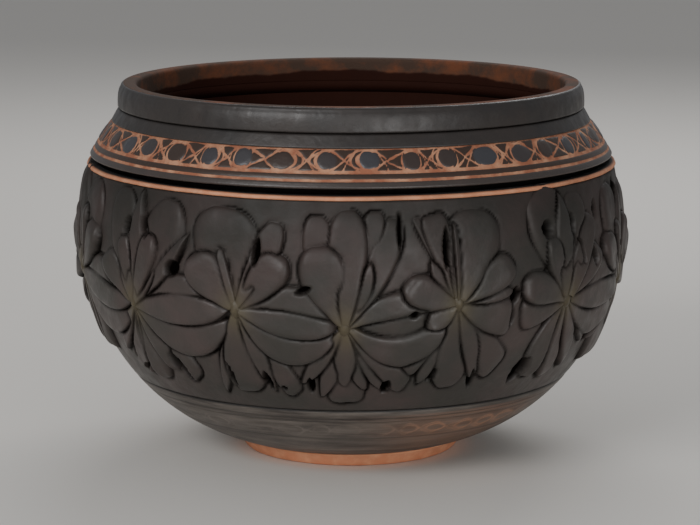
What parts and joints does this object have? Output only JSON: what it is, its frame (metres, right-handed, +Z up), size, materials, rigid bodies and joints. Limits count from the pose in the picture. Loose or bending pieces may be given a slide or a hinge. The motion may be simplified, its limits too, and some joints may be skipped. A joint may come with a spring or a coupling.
{
  "type": "clay pot",
  "caption": "Wide round black clay pot with an open mouth, an upright collar, a scratched lattice band, a belly covered in applied petal flowers and a bare clay foot ring.",
  "frame": {"origin": "centre of the foot ring's underside, the face that the pot stands on", "axes": "+Z up along the pot's axis; -Y faces the front view, +X is to its right"},
  "size_m": [0.2801, 0.2799, 0.1855],
  "materials": {
    "burnished_clay": "black reduction-fired clay, rubbed to a satin gloss",
    "satin_clay": "black clay, wiped but hardly rubbed",
    "bare_clay": "bare terracotta, matt"
  },
  "bodies": {
    "root": {"foot_ring": "bare_clay", "base_slab": "satin_clay", "lower_bowl": "satin_clay", "belly_wall": "burnished_clay", "shoulder_bead": "bare_clay", "shoulder_band": "burnished_clay", "neck_ring": "burnished_clay", "collar": "burnished_clay", "flower_01": "burnished_clay", "flower_02": "burnished_clay", "flower_03": "burnished_clay", "flower_04": "burnished_clay", "flower_05": "burnished_clay", "flower_06": "burnished_clay", "flower_07": "burnished_clay", "flower_08": "burnished_clay", "flower_09": "burnished_clay", "flower_10": "burnished_clay", "flower_11": "burnished_clay", "flower_12": "burnished_clay", "flower_13": "burnished_clay", "flower_14": "burnished_clay"}
  },
  "joints": []
}
